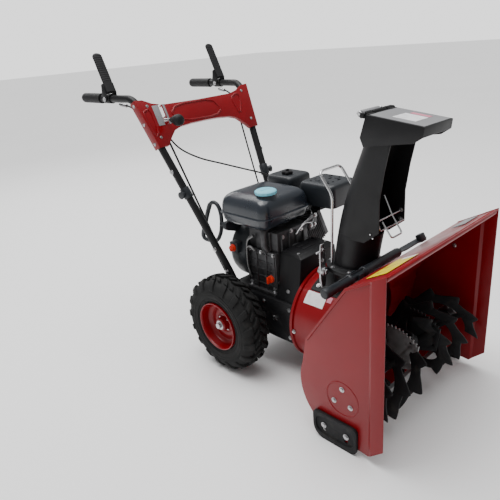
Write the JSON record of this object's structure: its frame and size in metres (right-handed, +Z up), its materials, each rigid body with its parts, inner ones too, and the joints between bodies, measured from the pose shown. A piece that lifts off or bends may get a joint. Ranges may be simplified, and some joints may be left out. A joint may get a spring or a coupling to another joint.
{
  "type": "walk-behind snowblower",
  "caption": "Walk-behind snowblower: toothed ribbon augers in a box intake, turning discharge chute with tilting hood, engine on a wheeled frame, two handles with levers.",
  "frame": {"origin": "floor point under the middle of the bounding box", "axes": "+Z up, -Y the way the intake faces, +X the operator's left"},
  "size_m": [0.592, 1.292, 1.0382],
  "materials": {
    "red_paint": "gloss",
    "black_paint": "satin",
    "black_plastic": "satin",
    "steel": "zinc plated",
    "cast_alloy": "as cast",
    "tyre": "matte",
    "rubber": "matte",
    "tank": "semi gloss",
    "pale_blue_plastic": "satin",
    "orange_plastic": "semi gloss"
  },
  "bodies": {
    "frame": {"drum": "red_paint", "side_plate_left": "red_paint", "side_plate_right": "red_paint", "impeller_housing": "red_paint", "dash": "red_paint", "chute_base": "black_paint", "belt_cover": "black_paint", "frame_box": "black_paint", "handle_tube_left": "black_paint", "handle_tube_right": "black_paint", "muffler_guard": "black_paint", "tool_clip": "black_plastic", "recoil_housing": "black_plastic", "heater_box": "black_plastic", "throttle_cable": "black_plastic", "clutch_cable_left": "black_plastic", "clutch_cable_right": "black_plastic", "scraper_bar": "steel", "auger_bearing_left": "steel", "auger_bearing_right": "steel", "chute_latch": "steel", "auger_gearbox": "cast_alloy", "crankcase": "cast_alloy", "cylinder_head": "cast_alloy", "belt": "rubber", "grip_left": "rubber", "grip_right": "rubber", "fuel_tank": "tank"},
    "impeller_rotor": {"impeller_shaft": "steel", "impeller": "red_paint", "impeller_pulley": "steel"},
    "auger_rotor": {"auger_shaft": "steel", "auger_left": "black_paint", "auger_right": "black_paint"},
    "crank": {"crank_pulley": "steel"},
    "idler": {"idler_arm": "steel"},
    "disc": {"drive_disc": "cast_alloy"},
    "hex": {"hex_shaft": "steel"},
    "friction_drive": {"friction_wheel": "rubber"},
    "wheels": {"axle": "steel", "rim_left": "red_paint", "rim_right": "red_paint", "tyre_left": "tyre", "tyre_right": "tyre"},
    "shoe_left": {"skid_shoe_left": "black_paint"},
    "shoe_right": {"skid_shoe_right": "black_paint"},
    "chute_turning": {"chute": "black_paint", "chute_guard": "steel", "chute_handle": "steel"},
    "spout": {"deflector": "black_paint"},
    "tool": {"clean_out_tool": "black_plastic"},
    "lever_left": {"clutch_lever_left": "black_paint"},
    "lever_right": {"clutch_lever_right": "black_paint"},
    "speed_lever": {"shift_lever": "black_plastic"},
    "speed_rod": {"shift_rod": "steel"},
    "cap": {"fuel_cap": "pale_blue_plastic"},
    "box_knob": {"heater_box_knob": "black_plastic"},
    "switch": {"engine_switch": "orange_plastic"},
    "plug": {"oil_plug": "orange_plastic"},
    "starter_grip": {"pull_grip": "black_plastic"}
  },
  "joints": [
    {"name": "impeller_spin", "type": "hinge", "parent": "frame", "child": "impeller_rotor", "pos_m": [0, -0.206, 0.2], "axis": [0, 1, 0], "continuous": true},
    {"name": "auger_spin", "type": "hinge", "parent": "frame", "child": "auger_rotor", "pos_m": [0, -0.52, 0.156], "axis": [1, 0, 0], "continuous": true},
    {"name": "crank_spin", "type": "hinge", "parent": "frame", "child": "crank", "pos_m": [0, -0.195, 0.368], "axis": [0, 1, 0], "continuous": true},
    {"name": "disc_spin", "type": "hinge", "parent": "frame", "child": "disc", "pos_m": [0, -0.086, 0.19], "axis": [0, 1, 0], "continuous": true},
    {"name": "idler_swing", "type": "hinge", "parent": "frame", "child": "idler", "pos_m": [0.1, -0.195, 0.215], "axis": [0, 1, 0], "range_deg": [-6.3, 0]},
    {"name": "wheel_spin", "type": "hinge", "parent": "frame", "child": "wheels", "pos_m": [0, 0.013, 0.165], "axis": [1, 0, 0], "continuous": true},
    {"name": "hex_spin", "type": "hinge", "parent": "frame", "child": "hex", "pos_m": [0, -0.1313, 0.19], "axis": [1, 0, 0], "continuous": true},
    {"name": "friction_wheel_slide", "type": "slide", "parent": "hex", "child": "friction_drive", "axis": [1, 0, 0], "range_m": [-0.0205, 0.0055]},
    {"name": "shoe_left_slide", "type": "slide", "parent": "frame", "child": "shoe_left", "axis": [0, 0, 1], "range_m": [0, 0.016]},
    {"name": "shoe_right_slide", "type": "slide", "parent": "frame", "child": "shoe_right", "axis": [0, 0, 1], "range_m": [0, 0.016]},
    {"name": "chute_turn", "type": "hinge", "parent": "frame", "child": "chute_turning", "pos_m": [0, -0.363, 0.4], "axis": [0, 0, 1], "range_deg": [-95, 95]},
    {"name": "deflector_tilt", "type": "hinge", "parent": "chute_turning", "child": "spout", "pos_m": [0, -0.43, 0.843], "axis": [1, 0, 0], "range_deg": [-30, 14]},
    {"name": "tool_lift", "type": "slide", "parent": "frame", "child": "tool", "axis": [0, 0, 1], "range_m": [0, 0.02]},
    {"name": "auger_lever_fold", "type": "hinge", "parent": "frame", "child": "lever_left", "pos_m": [0.247, 0.472, 0.889], "axis": [1, 0, 0], "range_deg": [-61, 0], "stiffness_Nm_per_rad": 2, "springref_deg": 22.92},
    {"name": "drive_lever_fold", "type": "hinge", "parent": "frame", "child": "lever_right", "pos_m": [-0.247, 0.472, 0.889], "axis": [1, 0, 0], "range_deg": [-61, 0], "stiffness_Nm_per_rad": 2, "springref_deg": 22.92},
    {"name": "speed_lever_swing", "type": "hinge", "parent": "frame", "child": "speed_lever", "pos_m": [-0.163, 0.367, 0.777], "axis": [1, 0, 0], "range_deg": [-24, 6]},
    {"name": "speed_rod_slide", "type": "slide", "parent": "frame", "child": "speed_rod", "axis": [-0.0572, 0.4497, 0.8913], "range_m": [-0.0044, 0.017]},
    {"name": "fuel_cap_turn", "type": "hinge", "parent": "frame", "child": "cap", "pos_m": [-0.076, -0.078, 0.6], "axis": [0, 0, 1], "range_deg": [0, 90]},
    {"name": "heater_knob_turn", "type": "hinge", "parent": "frame", "child": "box_knob", "pos_m": [0.13, 0.016, 0.6], "axis": [0, 0, 1], "range_deg": [0, 180]},
    {"name": "engine_switch_turn", "type": "hinge", "parent": "frame", "child": "switch", "pos_m": [-0.13, 0.044, 0.398], "axis": [1, 0, 0], "range_deg": [0, 60]},
    {"name": "oil_plug_turn", "type": "hinge", "parent": "frame", "child": "plug", "pos_m": [-0.11, -0.106, 0.316], "axis": [1, 0, 0], "range_deg": [0, 180]},
    {"name": "starter_pull", "type": "slide", "parent": "frame", "child": "starter_grip", "axis": [0, 1, 0], "range_m": [0, 0.5], "stiffness_N_per_m": 15, "springref_m": -0.2}
  ],
  "couplings": [
    {"joint": "auger_spin", "follows": "impeller_spin", "ratio": 0.071429},
    {"joint": "crank_spin", "follows": "impeller_spin", "ratio": 2.75},
    {"joint": "disc_spin", "follows": "impeller_spin", "ratio": 1.4},
    {"joint": "hex_spin", "follows": "wheel_spin", "ratio": 8},
    {"joint": "idler_swing", "follows": "auger_lever_fold", "ratio": 0.1},
    {"joint": "friction_wheel_slide", "follows": "speed_lever_swing", "m_per_rad": 0.0477},
    {"joint": "speed_rod_slide", "follows": "speed_lever_swing", "m_per_rad": -0.04}
  ]
}
